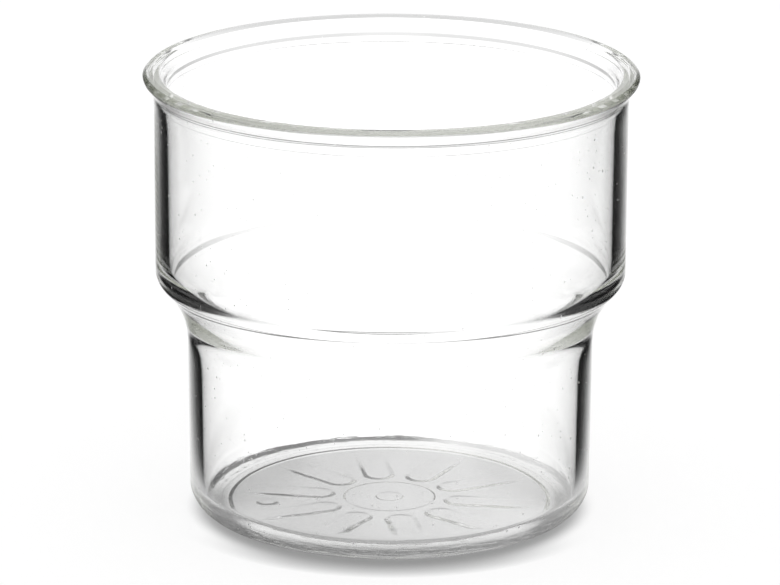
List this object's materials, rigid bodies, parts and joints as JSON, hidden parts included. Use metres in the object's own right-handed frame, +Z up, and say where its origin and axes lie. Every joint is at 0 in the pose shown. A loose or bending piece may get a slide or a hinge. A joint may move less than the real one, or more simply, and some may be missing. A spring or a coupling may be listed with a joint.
{
  "type": "plastic cup",
  "caption": "Clear plastic stacking cup with a flared rim lip, a straight upper wall, a curved stacking shoulder, a narrower lower wall and a flat base with a ray pattern underneath.",
  "frame": {"origin": "middle of the foot ring, on the table", "axes": "+Z up along the cup's axis, +X to the right of the picture, +Y away from its camera"},
  "size_m": [0.082, 0.082, 0.075],
  "materials": {
    "clear_plastic": "colourless, clear and glossy"
  },
  "bodies": {
    "root": {"cup_body": "clear_plastic"}
  },
  "joints": []
}
